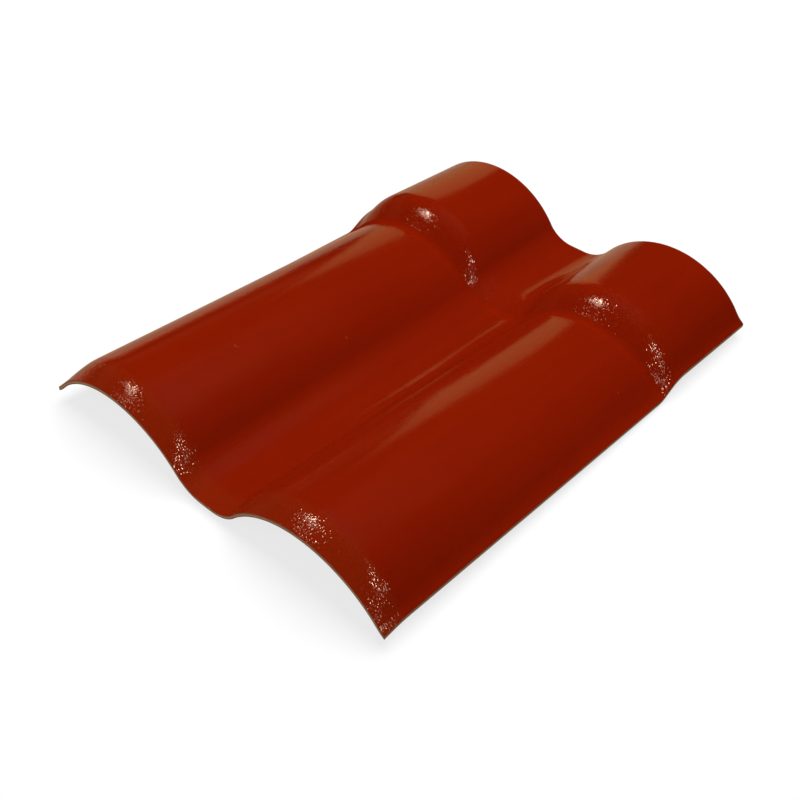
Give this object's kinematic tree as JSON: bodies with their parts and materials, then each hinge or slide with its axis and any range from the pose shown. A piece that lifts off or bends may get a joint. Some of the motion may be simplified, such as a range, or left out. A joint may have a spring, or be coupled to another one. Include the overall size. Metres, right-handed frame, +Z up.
{
  "type": "pvc roofing sheet",
  "caption": "Moulded plastic roofing sheet in the form of pan tiles, with round rolls, a valley between them and a step between tile courses.",
  "frame": {"origin": "on the floor, below the middle of the sheet's box", "axes": "+X across the rolls, +Y up the roof along the rolls, +Z up out of the weather face"},
  "size_m": [0.23, 0.3, 0.0399],
  "materials": {
    "red_plastic": "gloss, fine embossed grain"
  },
  "bodies": {
    "root": {"roof_sheet": "red_plastic"}
  },
  "joints": []
}
